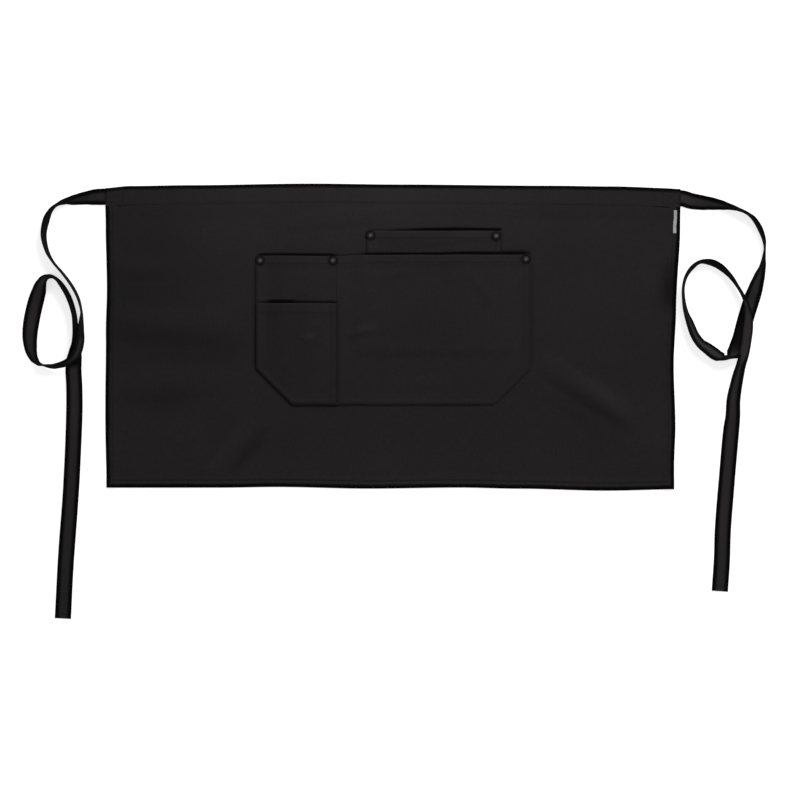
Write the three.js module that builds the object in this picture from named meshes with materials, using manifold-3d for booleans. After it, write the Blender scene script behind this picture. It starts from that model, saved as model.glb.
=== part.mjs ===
// Bar apron lying flat, front side up: cloth panel with waistband, three pockets, rivets, side label and two ties.
// Millimetres. X runs along the waistband, Y points to the waistband, Z is up from the surface it lies on.
// The origin is on the back of the panel, in the middle of the cloth.
import * as THREE from 'three';
import { mergeVertices } from 'three/addons/utils/BufferGeometryUtils.js';
import Module from 'manifold-3d';

const wasm = await Module();
wasm.setup();

// Sizes of the cloth
const PANEL_HALF_WIDTH = 375;
const CLOTH = 1.2;
const POCKET_CLOTH = 1.1;
const LAYER_GAP = 0.3;
const POCKET_GAP = 0.6;
const SIDE_HEM = 10;
const HEM_RAMP = 1;
const HEM_THICKNESS = 2.4;
const PANEL_COLUMNS = 33;
const PANEL_ROWS = 20;

// The waistband is a strip folded over the top edge of the panel
const BAND_HEIGHT = 24;
const BAND_WALL = 1;
const BAND_SLOT = 2.1;
const BAND_FOLD = 1.2;
const BAND_LIFT = 1.4;
const BAND_LIFT_START = 26;
const BAND_LIFT_END = 46;
const BAND_STEPS = 24;
const PANEL_TUCK = 4;
const NOTCH_WIDTH = 30;

// Outline of the panel: where each edge runs
const TOP_EDGE = [
  { at: -384, edge: 196.6 },
  { at: -344, edge: 198.5 },
  { at: -265, edge: 199.6 },
  { at: -106, edge: 201.7 },
  { at: 12, edge: 200.5 },
  { at: 210, edge: 198.9 },
  { at: 290, edge: 198.0 },
  { at: 384, edge: 195.2 },
];
const BOTTOM_EDGE = [
  { at: -384, edge: -199.0 },
  { at: -225, edge: -198.9 },
  { at: -150, edge: -198.0 },
  { at: -27, edge: -200.2 },
  { at: 92, edge: -198.8 },
  { at: 171, edge: -200.3 },
  { at: 285, edge: -202.9 },
  { at: 384, edge: -201.0 },
];
const LEFT_EDGE = [
  { at: -204, edge: -374.3 },
  { at: -105, edge: -376.6 },
  { at: 0, edge: -375.8 },
  { at: 66, edge: -374.5 },
  { at: 146, edge: -376.1 },
  { at: 202, edge: -377.0 },
];
const RIGHT_EDGE = [
  { at: -204, edge: 373.3 },
  { at: -171, edge: 373.3 },
  { at: -118, edge: 375.0 },
  { at: -39, edge: 372.8 },
  { at: 40, edge: 375.9 },
  { at: 146, edge: 381.3 },
  { at: 202, edge: 382.0 },
];

// Soft folds that stand off the surface: centre, direction in degrees, half length, half width and height
const FOLDS = [
  { name: 'right_diagonal', x: 262, y: -76, turn: -37, long: 92, wide: 27, high: 5 },
  { name: 'left_upper', x: -312, y: 40, turn: 0, long: 116, wide: 34, high: 4 },
  { name: 'left_lower', x: -306, y: -46, turn: 3, long: 108, wide: 32, high: 3.5 },
  { name: 'lower_left', x: -216, y: -133, turn: 59, long: 62, wide: 26, high: 3.5 },
  { name: 'right_edge', x: 378, y: 64, turn: 0, long: 74, wide: 34, high: 3.5 },
];

// Pockets: outer edges, cut of the lower corners and the mouths that stand open
const POCKET_BACK = { left: -32.3, right: 146.5, bottom: -10, top: 141.5, cut: 0 };
const POCKET_MAIN = { left: -178.2, right: 184.8, bottom: -89.9, top: 109.3, cut: 48 };
const POCKET_SMALL = { left: -178.2, right: -70.2, bottom: -89.9, top: 45.4, cut: 48 };
const DIVIDER_X = -70.2;
const OVER_BACK_EDGE = 6;
const OVER_BACK_RAMP = 15;
const MOUTHS = {
  back: { middle: 56, half: 74, bottom: -10, top: 141.5, open: 6.2 },
  mainRight: { middle: 57, half: 112, bottom: -89.9, top: 109.3, open: 6.4 },
  mainLeft: { middle: -124.2, half: 41, bottom: -89.9, top: 109.3, open: 5.8 },
  small: { middle: -124.6, half: 44, bottom: -89.9, top: 45.4, open: 7 },
};

// Rivets, all through one pocket layer and the panel
const RIVETS = [
  { name: 'rivet_1', x: -172.8, y: 100.1 },
  { name: 'rivet_2', x: -76.7, y: 100.3 },
  { name: 'rivet_3', x: 178.1, y: 102.0 },
  { name: 'rivet_4', x: -27.1, y: 133.3 },
  { name: 'rivet_5', x: 138.7, y: 132.5 },
];
const RIVET_CAP_RADIUS = 4.75;
const RIVET_CAP_HEIGHT = 1.5;
const RIVET_POST_RADIUS = 1.5;
const RIVET_BACK_RADIUS = 3.9;
const RIVET_BACK_THICKNESS = 0.6;
const RIVET_BACK_REST = 0.05;
const RIVET_SIDES = 16;
const RIVET_HOLE_RADIUS = 1.8;
const RIVET_SEAT_RADIUS = 4.2;
const RIVET_SEAT_DEPTH = 0.75;

// Side label
const LABEL = { left: 371.2, right: 377.4, bottom: 136, top: 167.4, thickness: 0.9, gap: 0.5 };

// Ties: flat straps. Each row is a place on the strap's middle line: lean is 0 where the strap lies flat
// and 90 where it stands on edge, and raise is how far its lower edge is off the surface.
const TIE_WIDTH = 21;
const TIE_THICKNESS = 1.6;
const TIE_STEPS_PER_ROW = 3;
const TIE_LEFT_ROUTE = [
  { x: -352, y: 186, lean: 0, raise: 1.25 },
  { x: -378, y: 184.7, lean: 0, raise: 1.25 },
  { x: -390, y: 184, lean: 20, raise: 0.6 },
  { x: -403, y: 183, lean: 40, raise: 0 },
  { x: -417, y: 181, lean: 55, raise: 0 },
  { x: -430, y: 179, lean: 72, raise: 0 },
  { x: -441, y: 174, lean: 81, raise: 0 },
  { x: -449, y: 167, lean: 80, raise: 0 },
  { x: -455, y: 154, lean: 72, raise: 0 },
  { x: -458, y: 134, lean: 74, raise: 0 },
  { x: -454, y: 114, lean: 80, raise: 0 },
  { x: -445, y: 98, lean: 86, raise: 0 },
  { x: -432, y: 82, lean: 85, raise: 0 },
  { x: -420, y: 66, lean: 84, raise: 0 },
  { x: -412, y: 50, lean: 84, raise: 0 },
  { x: -408, y: 33, lean: 86, raise: 0 },
  { x: -408, y: 12, lean: 75, raise: 0.5 },
  { x: -409.5, y: -5, lean: 62, raise: 2.4 },
  { x: -413, y: -18, lean: 58, raise: 3.8 },
  { x: -419, y: -28, lean: 60, raise: 5.8 },
  { x: -429, y: -35, lean: 68, raise: 6.6 },
  { x: -442, y: -38.5, lean: 76, raise: 3.4 },
  { x: -456, y: -38.5, lean: 83, raise: 0.6 },
  { x: -466, y: -34, lean: 76, raise: 0 },
  { x: -473, y: -25, lean: 62, raise: 0 },
  { x: -476, y: -12, lean: 46, raise: 0 },
  { x: -476.5, y: 4, lean: 30, raise: 0 },
  { x: -474, y: 23, lean: 8, raise: 0 },
  { x: -470, y: 43, lean: 10, raise: 0 },
  { x: -465, y: 59, lean: 34, raise: 0 },
  { x: -460, y: 71, lean: 52, raise: 0 },
  { x: -452, y: 78, lean: 74, raise: 0 },
  { x: -443, y: 76.5, lean: 79, raise: 0 },
  { x: -433, y: 66, lean: 76, raise: 0 },
  { x: -424, y: 50, lean: 74, raise: 0 },
  { x: -418, y: 30, lean: 73, raise: 0 },
  { x: -416, y: 10, lean: 70, raise: 0 },
  { x: -416, y: -6, lean: 61, raise: 0 },
  { x: -417, y: -19, lean: 36, raise: 0 },
  { x: -418.5, y: -31, lean: 14, raise: 0 },
  { x: -419, y: -45, lean: 6, raise: 0 },
  { x: -418, y: -66, lean: 5, raise: 0 },
  { x: -418, y: -100, lean: 3, raise: 0 },
  { x: -420, y: -150, lean: 3, raise: 0 },
  { x: -423, y: -211, lean: 3, raise: 0 },
  { x: -429, y: -295, lean: 3, raise: 0 },
  { x: -433, y: -372, lean: 0, raise: 0 },
];
const TIE_RIGHT_ROUTE = [
  { x: 357, y: 183.4, lean: 0, raise: 1.25 },
  { x: 383, y: 182.6, lean: 0, raise: 1.25 },
  { x: 395, y: 180, lean: 14, raise: 0.6 },
  { x: 408, y: 177.5, lean: 28, raise: 0 },
  { x: 422, y: 176, lean: 43, raise: 0 },
  { x: 435, y: 174, lean: 58, raise: 0 },
  { x: 448, y: 171.5, lean: 72, raise: 0 },
  { x: 459, y: 168, lean: 82, raise: 0 },
  { x: 470, y: 163, lean: 82, raise: 0 },
  { x: 479, y: 155.5, lean: 80, raise: 0 },
  { x: 487, y: 143, lean: 78, raise: 0 },
  { x: 492, y: 128, lean: 83, raise: 0 },
  { x: 493, y: 116, lean: 88, raise: 0 },
  { x: 492, y: 105, lean: 84, raise: 0 },
  { x: 490, y: 92, lean: 71, raise: 0 },
  { x: 485.5, y: 77, lean: 48, raise: 0 },
  { x: 480, y: 61, lean: 26, raise: 0 },
  { x: 474, y: 45, lean: 6, raise: 0 },
  { x: 466.5, y: 21, lean: 2, raise: 0 },
  { x: 460, y: -1, lean: 2, raise: 0 },
  { x: 454, y: -14, lean: 4, raise: 0 },
  { x: 447.5, y: -23, lean: 12, raise: 0 },
  { x: 440, y: -27, lean: 66, raise: 0 },
  { x: 431, y: -25, lean: 66, raise: 0 },
  { x: 421, y: -18, lean: 57, raise: 0 },
  { x: 409, y: -9, lean: 56, raise: 0 },
  { x: 401, y: 2, lean: 63, raise: 0 },
  { x: 395, y: 16, lean: 69, raise: 0 },
  { x: 389, y: 33, lean: 76, raise: 0 },
  { x: 386, y: 50, lean: 83, raise: 0 },
  { x: 386, y: 66, lean: 84, raise: 0 },
  { x: 389.5, y: 80, lean: 83, raise: 0 },
  { x: 397, y: 91, lean: 82, raise: 0 },
  { x: 408, y: 98, lean: 80, raise: 0 },
  { x: 422, y: 98, lean: 71, raise: 0 },
  { x: 435, y: 92, lean: 71, raise: 0 },
  { x: 448, y: 80, lean: 77, raise: 0.4 },
  { x: 457, y: 67, lean: 82, raise: 1.6 },
  { x: 464, y: 54, lean: 83, raise: 3 },
  { x: 469, y: 41, lean: 76, raise: 3.2 },
  { x: 471, y: 26, lean: 63, raise: 3.4 },
  { x: 470, y: 10, lean: 55, raise: 3.6 },
  { x: 468, y: -6, lean: 56, raise: 4.4 },
  { x: 465, y: -23, lean: 56, raise: 5.6 },
  { x: 461, y: -39, lean: 56, raise: 4.4 },
  { x: 456, y: -61, lean: 47, raise: 0.8 },
  { x: 452, y: -84, lean: 36, raise: 0 },
  { x: 451, y: -105, lean: 28, raise: 0 },
  { x: 448, y: -130, lean: 12, raise: 0 },
  { x: 443, y: -190, lean: 3, raise: 0 },
  { x: 438, y: -252, lean: 3, raise: 0 },
  { x: 436.5, y: -295, lean: 3, raise: 0 },
  { x: 434, y: -336, lean: 0, raise: 0 },
];

// Materials
const clothLook = new THREE.MeshStandardMaterial({ color: 0x222021, roughness: 0.95, metalness: 0 });
const tieLook = new THREE.MeshStandardMaterial({ color: 0x1a1919, roughness: 0.95, metalness: 0 });
const rivetLook = new THREE.MeshStandardMaterial({ color: 0x4a4a4c, roughness: 0.35, metalness: 1 });
const labelLook = new THREE.MeshStandardMaterial({ color: 0xd8d8d6, roughness: 0.9, metalness: 0 });

// Small helpers for smooth shapes
function ease(value) {
  const t = Math.min(1, Math.max(0, value));
  return t * t * (3 - 2 * t);
}

function hump(value) {
  const t = Math.min(1, Math.abs(value));
  return (1 - t * t) ** 2;
}

function mix(from, to, share) {
  return from + (to - from) * share;
}

function edgeAt(rows, at) {
  const next = Math.max(1, rows.findIndex((row) => row.at >= at));
  const low = rows[next - 1];
  const high = rows[next];
  return mix(low.edge, high.edge, ease((at - low.at) / (high.at - low.at)));
}

function evenSteps(from, to, count) {
  return Array.from({ length: count + 1 }, (_, step) => mix(from, to, step / count));
}

// A closed sheet: a box with a grid on its two broad sides, each corner moved to its place
function sheet(columns, rows, place) {
  const columnCount = columns.length - 1;
  const rowCount = rows.length - 1;
  const geometry = new THREE.BoxGeometry(1, 1, 1, columnCount, rowCount, 1);
  const corners = geometry.getAttribute('position');
  for (let index = 0; index < corners.count; index += 1) {
    const column = columns[Math.round((corners.getX(index) + 0.5) * columnCount)];
    const row = rows[Math.round((corners.getY(index) + 0.5) * rowCount)];
    const spot = place(column, row, corners.getZ(index) > 0);
    corners.setXYZ(index, spot.x, spot.y, spot.z);
  }
  return geometry;
}

// Joining and cutting of closed shapes
function solidOf(geometry) {
  const bare = new THREE.BufferGeometry();
  bare.setAttribute('position', geometry.getAttribute('position'));
  bare.setIndex(geometry.getIndex());
  const merged = mergeVertices(bare, 1e-4);
  const vertProperties = new Float32Array(merged.getAttribute('position').array);
  const triVerts = new Uint32Array(merged.getIndex().array);
  return new wasm.Manifold(new wasm.Mesh({ numProp: 3, vertProperties, triVerts }));
}

function geometryOf(solid) {
  const made = solid.getMesh();
  const geometry = new THREE.BufferGeometry();
  geometry.setAttribute('position', new THREE.BufferAttribute(new Float32Array(made.vertProperties), 3));
  geometry.setIndex(new THREE.BufferAttribute(new Uint32Array(made.triVerts), 1));
  return geometry;
}

function cutAway(geometry, cutters) {
  const left = cutters.reduce((solid, cutter) => solid.subtract(solidOf(cutter)), solidOf(geometry));
  return geometryOf(left);
}

function uprightCylinder(radius, bottom, top, x, y) {
  const geometry = new THREE.CylinderGeometry(radius, radius, top - bottom, RIVET_SIDES);
  geometry.rotateX(Math.PI / 2);
  geometry.translate(x, y, (bottom + top) / 2);
  return geometry;
}

// Height of the panel's underside: folds, and the step up into the waistband
function panelLift(x, y) {
  const below = edgeAt(TOP_EDGE, x) - y;
  const intoBand = 1 - ease((below - BAND_LIFT_START) / (BAND_LIFT_END - BAND_LIFT_START));
  const folded = FOLDS.reduce((sum, fold) => {
    const turn = THREE.MathUtils.degToRad(fold.turn);
    const along = (x - fold.x) * Math.cos(turn) + (y - fold.y) * Math.sin(turn);
    const across = (y - fold.y) * Math.cos(turn) - (x - fold.x) * Math.sin(turn);
    return sum + fold.high * hump(along / fold.long) * hump(across / fold.wide);
  }, 0);
  return BAND_LIFT * intoBand + folded;
}

// Panel with its hems, its corners cut out where the ties go into the waistband
function makePanel() {
  const inner = PANEL_HALF_WIDTH - SIDE_HEM - HEM_RAMP;
  const columns = [
    -PANEL_HALF_WIDTH,
    -PANEL_HALF_WIDTH + SIDE_HEM,
    ...evenSteps(-inner, inner, PANEL_COLUMNS),
    PANEL_HALF_WIDTH - SIDE_HEM,
    PANEL_HALF_WIDTH,
  ];
  const height = edgeAt(TOP_EDGE, 0) - edgeAt(BOTTOM_EDGE, 0);
  const liftFrom = height - BAND_LIFT_END;
  const liftTo = height - BAND_LIFT_START;
  const rows = [
    0,
    SIDE_HEM,
    ...evenSteps(SIDE_HEM + HEM_RAMP, liftFrom, PANEL_ROWS),
    ...evenSteps(liftFrom, liftTo, 3).slice(1),
    height - PANEL_TUCK,
  ];
  const geometry = sheet(columns, rows, (column, row, isTop) => {
    const bottom = edgeAt(BOTTOM_EDGE, column);
    const top = edgeAt(TOP_EDGE, column);
    const y = mix(bottom, top, row / height);
    const share = (column + PANEL_HALF_WIDTH) / (2 * PANEL_HALF_WIDTH);
    const x = mix(edgeAt(LEFT_EDGE, y), edgeAt(RIGHT_EDGE, y), share);
    const inHem = Math.abs(column) >= PANEL_HALF_WIDTH - SIDE_HEM || row <= SIDE_HEM;
    const thickness = inHem ? HEM_THICKNESS : CLOTH;
    return new THREE.Vector3(x, y, panelLift(x, y) + (isTop ? thickness : 0));
  });
  const notches = [-1, 1].map((side) => {
    const notch = new THREE.BoxGeometry(2 * NOTCH_WIDTH, BAND_HEIGHT * 2, BAND_HEIGHT);
    const corner = side < 0 ? edgeAt(LEFT_EDGE, 200) : edgeAt(RIGHT_EDGE, 200);
    const lowEdge = edgeAt(TOP_EDGE, corner) - BAND_HEIGHT - LAYER_GAP;
    notch.translate(corner, lowEdge + BAND_HEIGHT, 0);
    return notch;
  });
  const holes = RIVETS.flatMap((rivet) => [
    uprightCylinder(RIVET_HOLE_RADIUS, -CLOTH, 2 * CLOTH, rivet.x, rivet.y),
    uprightCylinder(RIVET_SEAT_RADIUS, -CLOTH, RIVET_SEAT_DEPTH, rivet.x, rivet.y),
  ]);
  return cutAway(geometry, [...notches, ...holes]);
}

// Waistband: a folded strip, open along its lower edge and at its ends
function makeWaistband() {
  const total = 2 * BAND_WALL + BAND_SLOT;
  const outline = new THREE.Shape();
  outline.moveTo(-BAND_HEIGHT, 0);
  outline.lineTo(-BAND_WALL, 0);
  outline.lineTo(-BAND_WALL * 0.3, BAND_WALL * 0.4);
  outline.lineTo(0, BAND_WALL * 1.2);
  outline.lineTo(0, total - BAND_WALL * 1.2);
  outline.lineTo(-BAND_WALL * 0.3, total - BAND_WALL * 0.4);
  outline.lineTo(-BAND_WALL, total);
  outline.lineTo(-BAND_HEIGHT, total);
  outline.lineTo(-BAND_HEIGHT, total - BAND_WALL);
  outline.lineTo(-BAND_FOLD, total - BAND_WALL);
  outline.lineTo(-BAND_FOLD, BAND_WALL);
  outline.lineTo(-BAND_HEIGHT, BAND_WALL);
  outline.closePath();
  const geometry = new THREE.ExtrudeGeometry(outline, { depth: 1, steps: BAND_STEPS, bevelEnabled: false });
  const left = edgeAt(LEFT_EDGE, 200);
  const right = edgeAt(RIGHT_EDGE, 200);
  const corners = geometry.getAttribute('position');
  for (let index = 0; index < corners.count; index += 1) {
    const x = mix(right, left, corners.getZ(index));
    const y = edgeAt(TOP_EDGE, x) + corners.getX(index);
    corners.setXYZ(index, x, y, corners.getY(index));
  }
  return mirroredIfNeeded(geometry);
}

// Turns the faces outward if the placing above has turned them inward
function mirroredIfNeeded(geometry) {
  const solid = solidOf(geometry);
  if (solid.volume() > 0) {
    return geometryOf(solid);
  }
  const turned = geometryOf(solid);
  const order = turned.getIndex().array;
  for (let index = 0; index < order.length; index += 3) {
    const second = order[index + 1];
    order[index + 1] = order[index + 2];
    order[index + 2] = second;
  }
  return turned;
}

// How far a pocket's cloth stands off at a place because its mouth is open
function mouthLift(mouth, x, y) {
  const across = Math.min(1, Math.abs((x - mouth.middle) / mouth.half));
  const along = ease((y - mouth.bottom) / (mouth.top - mouth.bottom));
  return mouth.open * (1 - ease(across * across)) * along;
}

// One where the main pocket lies over the back pocket, running out to nothing beside it
function overBack(x, y) {
  const pastSide = Math.max(POCKET_BACK.left - x, x - POCKET_BACK.right);
  const pastBottom = POCKET_BACK.bottom - y;
  const past = Math.max(pastSide, pastBottom) - OVER_BACK_EDGE;
  return 1 - ease(past / OVER_BACK_RAMP);
}

function backUnder(x, y) {
  return CLOTH + LAYER_GAP + mouthLift(MOUTHS.back, x, y);
}

function mainUnder(x, y) {
  const overLayer = overBack(x, y) * (POCKET_CLOTH + POCKET_GAP);
  const open = mouthLift(MOUTHS.mainRight, x, y) + mouthLift(MOUTHS.mainLeft, x, y);
  return CLOTH + LAYER_GAP + overLayer + mouthLift(MOUTHS.back, x, y) + open;
}

function smallUnder(x, y) {
  return mainUnder(x, y) + POCKET_CLOTH + POCKET_GAP + mouthLift(MOUTHS.small, x, y);
}

// Lower edge of a pocket with its corners cut off
function pocketBottom(pocket, x, cutRight) {
  const fromLeft = pocket.cut - (x - pocket.left);
  const fromRight = cutRight ? pocket.cut - (pocket.right - x) : 0;
  return pocket.bottom + Math.max(0, fromLeft, fromRight);
}

function makePocket(pocket, columns, rowCount, cutRight, under, rivets) {
  const geometry = sheet(columns, evenSteps(0, 1, rowCount), (x, share, isTop) => {
    const y = mix(pocketBottom(pocket, x, cutRight), pocket.top, share);
    return new THREE.Vector3(x, y, under(x, y) + (isTop ? POCKET_CLOTH : 0));
  });
  const holes = rivets.map((rivet) => {
    const level = under(rivet.x, rivet.y);
    return uprightCylinder(RIVET_HOLE_RADIUS, level - CLOTH, level + 2 * CLOTH, rivet.x, rivet.y);
  });
  return cutAway(geometry, holes);
}

// Rivet: domed cap with a rim, post, and flat disc let into the back of the panel
function makeRivet(rivet, capSeat) {
  const backTop = RIVET_BACK_REST + RIVET_BACK_THICKNESS;
  const capTop = capSeat + RIVET_CAP_HEIGHT;
  const profile = [
    new THREE.Vector2(0, RIVET_BACK_REST),
    new THREE.Vector2(RIVET_BACK_RADIUS, RIVET_BACK_REST),
    new THREE.Vector2(RIVET_BACK_RADIUS, backTop),
    new THREE.Vector2(RIVET_POST_RADIUS, backTop),
    new THREE.Vector2(RIVET_POST_RADIUS, capSeat),
    new THREE.Vector2(RIVET_CAP_RADIUS, capSeat),
    new THREE.Vector2(RIVET_CAP_RADIUS, capSeat + RIVET_CAP_HEIGHT * 0.45),
    new THREE.Vector2(RIVET_CAP_RADIUS * 0.86, capSeat + RIVET_CAP_HEIGHT * 0.8),
    new THREE.Vector2(RIVET_CAP_RADIUS * 0.5, capTop),
    new THREE.Vector2(0, capTop),
  ];
  const geometry = new THREE.LatheGeometry(profile, RIVET_SIDES);
  geometry.rotateX(Math.PI / 2);
  geometry.translate(rivet.x, rivet.y, 0);
  return mirroredIfNeeded(geometry);
}

function makeLabel() {
  const columns = [LABEL.left, LABEL.right];
  const rows = evenSteps(LABEL.bottom, LABEL.top, 6);
  return sheet(columns, rows, (x, y, isTop) => {
    const under = panelLift(x, y) + HEM_THICKNESS + LABEL.gap;
    return new THREE.Vector3(x, y, under + (isTop ? LABEL.thickness : 0));
  });
}

// Tie: a flat strap carried along its route, leaning as the table says; side is which of its edges stays down
function makeTie(route, side) {
  const middle = new THREE.CatmullRomCurve3(route.map((row) => new THREE.Vector3(row.x, row.y, 0)));
  middle.curveType = 'catmullrom';
  middle.tension = 0.5;
  const stance = new THREE.CatmullRomCurve3(route.map((row) => new THREE.Vector3(row.lean, row.raise, 0)));
  stance.curveType = 'catmullrom';
  stance.tension = 0.3;
  const placeAt = (share) => {
    const spot = middle.getPoint(share);
    const posed = stance.getPoint(share);
    const lean = THREE.MathUtils.degToRad(Math.min(90, Math.max(0, posed.x)));
    const rise = Math.sin(lean) * TIE_WIDTH * 0.5 + Math.cos(lean) * TIE_THICKNESS * 0.5;
    spot.z = Math.max(0, posed.y) + rise;
    return { spot, lean };
  };
  const steps = evenSteps(0, 1, (route.length - 1) * TIE_STEPS_PER_ROW);
  const nudge = 0.002;
  const up = new THREE.Vector3(0, 0, 1);
  return sheet(steps, [-0.5, 0.5], (share, across, isTop) => {
    const here = placeAt(share);
    const ahead = placeAt(Math.min(1, share + nudge)).spot;
    const behind = placeAt(Math.max(0, share - nudge)).spot;
    const along = ahead.sub(behind).normalize();
    const level = new THREE.Vector3().crossVectors(up, along).normalize();
    const wide = level.multiplyScalar(Math.cos(here.lean)).addScaledVector(up, side * Math.sin(here.lean));
    wide.addScaledVector(along, -wide.dot(along)).normalize();
    const thick = new THREE.Vector3().crossVectors(along, wide);
    const spot = here.spot.clone();
    spot.addScaledVector(wide, across * TIE_WIDTH);
    return spot.addScaledVector(thick, (isTop ? 0.5 : -0.5) * TIE_THICKNESS);
  });
}

// The apron
const apron = new THREE.Group();

function addPiece(name, geometry, look) {
  geometry.computeVertexNormals();
  const mesh = new THREE.Mesh(geometry, look);
  mesh.name = name;
  apron.add(mesh);
}

const mainColumns = [
  ...evenSteps(POCKET_MAIN.left, POCKET_MAIN.left + POCKET_MAIN.cut, 4),
  ...evenSteps(POCKET_MAIN.left + POCKET_MAIN.cut, DIVIDER_X, 5).slice(1),
  ...evenSteps(DIVIDER_X, POCKET_MAIN.right - POCKET_MAIN.cut, 12).slice(1),
  ...evenSteps(POCKET_MAIN.right - POCKET_MAIN.cut, POCKET_MAIN.right, 3).slice(1),
];
const smallColumns = mainColumns.filter((x) => x <= POCKET_SMALL.right + LAYER_GAP);
const backColumns = evenSteps(POCKET_BACK.left, POCKET_BACK.right, 12);
const rivetSeat = CLOTH + LAYER_GAP + POCKET_CLOTH + LAYER_GAP;
const mainRivets = RIVETS.slice(0, 3);
const backRivets = RIVETS.slice(3);

addPiece('apron_panel', makePanel(), clothLook);
addPiece('waistband', makeWaistband(), clothLook);
addPiece('pocket_back', makePocket(POCKET_BACK, backColumns, 9, false, backUnder, backRivets), clothLook);
addPiece('pocket_main', makePocket(POCKET_MAIN, mainColumns, 11, true, mainUnder, mainRivets), clothLook);
addPiece('pocket_small', makePocket(POCKET_SMALL, smallColumns, 8, false, smallUnder, []), clothLook);
RIVETS.forEach((rivet) => addPiece(rivet.name, makeRivet(rivet, rivetSeat), rivetLook));
addPiece('side_label', makeLabel(), labelLook);
addPiece('tie_left', makeTie(TIE_LEFT_ROUTE, -1), tieLook);
addPiece('tie_right', makeTie(TIE_RIGHT_ROUTE, 1), tieLook);

export default apron;
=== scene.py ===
import math

import bpy
import numpy as np
from mathutils import Matrix, Vector, noise


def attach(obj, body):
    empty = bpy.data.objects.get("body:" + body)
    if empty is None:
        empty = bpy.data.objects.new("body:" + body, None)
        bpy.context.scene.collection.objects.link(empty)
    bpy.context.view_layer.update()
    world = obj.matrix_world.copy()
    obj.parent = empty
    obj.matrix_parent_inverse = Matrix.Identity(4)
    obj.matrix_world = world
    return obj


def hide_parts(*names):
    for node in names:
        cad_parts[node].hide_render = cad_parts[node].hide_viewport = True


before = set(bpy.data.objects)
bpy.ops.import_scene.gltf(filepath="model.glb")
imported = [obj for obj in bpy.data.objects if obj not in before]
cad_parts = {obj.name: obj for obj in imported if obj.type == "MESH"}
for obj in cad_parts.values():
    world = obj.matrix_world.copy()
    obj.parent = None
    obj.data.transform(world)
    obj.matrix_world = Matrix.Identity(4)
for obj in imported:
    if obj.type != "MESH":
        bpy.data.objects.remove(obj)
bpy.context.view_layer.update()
mm = 0.001
fullTurn = 2 * math.pi
print("frame loaded:", len(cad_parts), "solids")


# camera straight above, framed as in the picture
cameraSetup = {
    "middle": (11.9, -83.6),      # what the picture's centre looks at, mm
    "width": 1056.0,              # how much of the floor the picture is wide, mm
    "lens": 200.0,
    "sensor": 36.0,
}


def addCamera(setup):
    distance = setup["width"] * mm * setup["lens"] / setup["sensor"]
    x, y = setup["middle"]
    bpy.ops.object.camera_add(location=(x * mm, y * mm, distance), rotation=(0, 0, 0))
    camera = bpy.context.object
    camera.name = "overhead_camera"
    camera.data.lens = setup["lens"]
    camera.data.sensor_width = setup["sensor"]
    camera.data.clip_end = 100
    bpy.context.scene.camera = camera


addCamera(cameraSetup)
print("camera placed")


# small helpers for shapes, all lengths in mm until a mesh is written
def ease(value):
    t = np.clip(value, 0.0, 1.0)
    return t * t * (3 - 2 * t)


def hump(value):
    t = np.minimum(1.0, np.abs(value))
    return (1 - t * t) ** 2


def mix(low, high, share):
    return low + (high - low) * share


def edgeAt(rows, at):
    places = np.array([row[0] for row in rows], dtype=float)
    edges = np.array([row[1] for row in rows], dtype=float)
    at = np.asarray(at, dtype=float)
    after = np.clip(np.searchsorted(places, at), 1, len(rows) - 1)
    share = ease((at - places[after - 1]) / (places[after] - places[after - 1]))
    return mix(edges[after - 1], edges[after], share)


# distance run after each of a row of steps, from nothing
def runFrom(steps):
    return np.concatenate([[0], np.cumsum(steps)])


# rows of numbers known at some distances, read at others
def readAt(spots, travel, rows):
    return np.stack([np.interp(spots, travel, rows[:, k]) for k in range(rows.shape[1])], 1)


def ripple(x, y, size, seed):
    flatX = np.ravel(x)
    flatY = np.ravel(y)
    values = [noise.noise(Vector((a / size, b / size, seed))) for a, b in zip(flatX, flatY)]
    return np.array(values).reshape(np.shape(x))


def setMode(mode):
    bpy.ops.object.mode_set(mode=mode)


def deselectAll():
    if bpy.context.object and bpy.context.object.mode != "OBJECT":
        setMode("OBJECT")
    bpy.ops.object.select_all(action="DESELECT")


def makeActive(piece):
    deselectAll()
    piece.select_set(True)
    bpy.context.view_layer.objects.active = piece


def applyModifier(piece, kind, settings):
    makeActive(piece)
    modifier = piece.modifiers.new(kind.lower(), kind)
    for key, value in settings.items():
        setattr(modifier, key, value)
    bpy.ops.object.modifier_apply(modifier=modifier.name)


def smoothPiece(piece, degrees):
    makeActive(piece)
    bpy.ops.object.shade_smooth_by_angle(angle=math.radians(degrees))


def meshPiece(name, points, faces):
    mesh = bpy.data.meshes.new(name)
    mesh.from_pydata([tuple(p) for p in points], [], faces)
    mesh.update()
    piece = bpy.data.objects.new(name, mesh)
    bpy.context.scene.collection.objects.link(piece)
    return piece


def faceOutward(piece):
    makeActive(piece)
    setMode("EDIT")
    bpy.ops.mesh.select_all(action="SELECT")
    bpy.ops.mesh.normals_make_consistent(inside=False)
    setMode("OBJECT")


# a number at each corner of a mesh, for its material
def markPoints(mesh, key, values):
    mesh.attributes.new(key, "FLOAT", "POINT").data.foreach_set("value", values)


# where each corner lies on the cut cloth
def writeFlat(mesh, flat):
    corner = np.empty(len(mesh.loops), dtype=int)
    mesh.loops.foreach_get("vertex_index", corner)
    mesh.uv_layers["flat"].data.foreach_set("uv", (flat[corner] * mm).ravel())


# a sum of soft bumps: centre, direction in degrees, half length, half width, height
def bumpsAt(bumps, x, y):
    total = np.zeros(np.shape(x))
    for centreX, centreY, degrees, long, wide, high in bumps:
        turn = math.radians(degrees)
        along = (x - centreX) * math.cos(turn) + (y - centreY) * math.sin(turn)
        across = (y - centreY) * math.cos(turn) - (x - centreX) * math.sin(turn)
        total = total + high * hump(along / long) * hump(across / wide)
    return total


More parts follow.
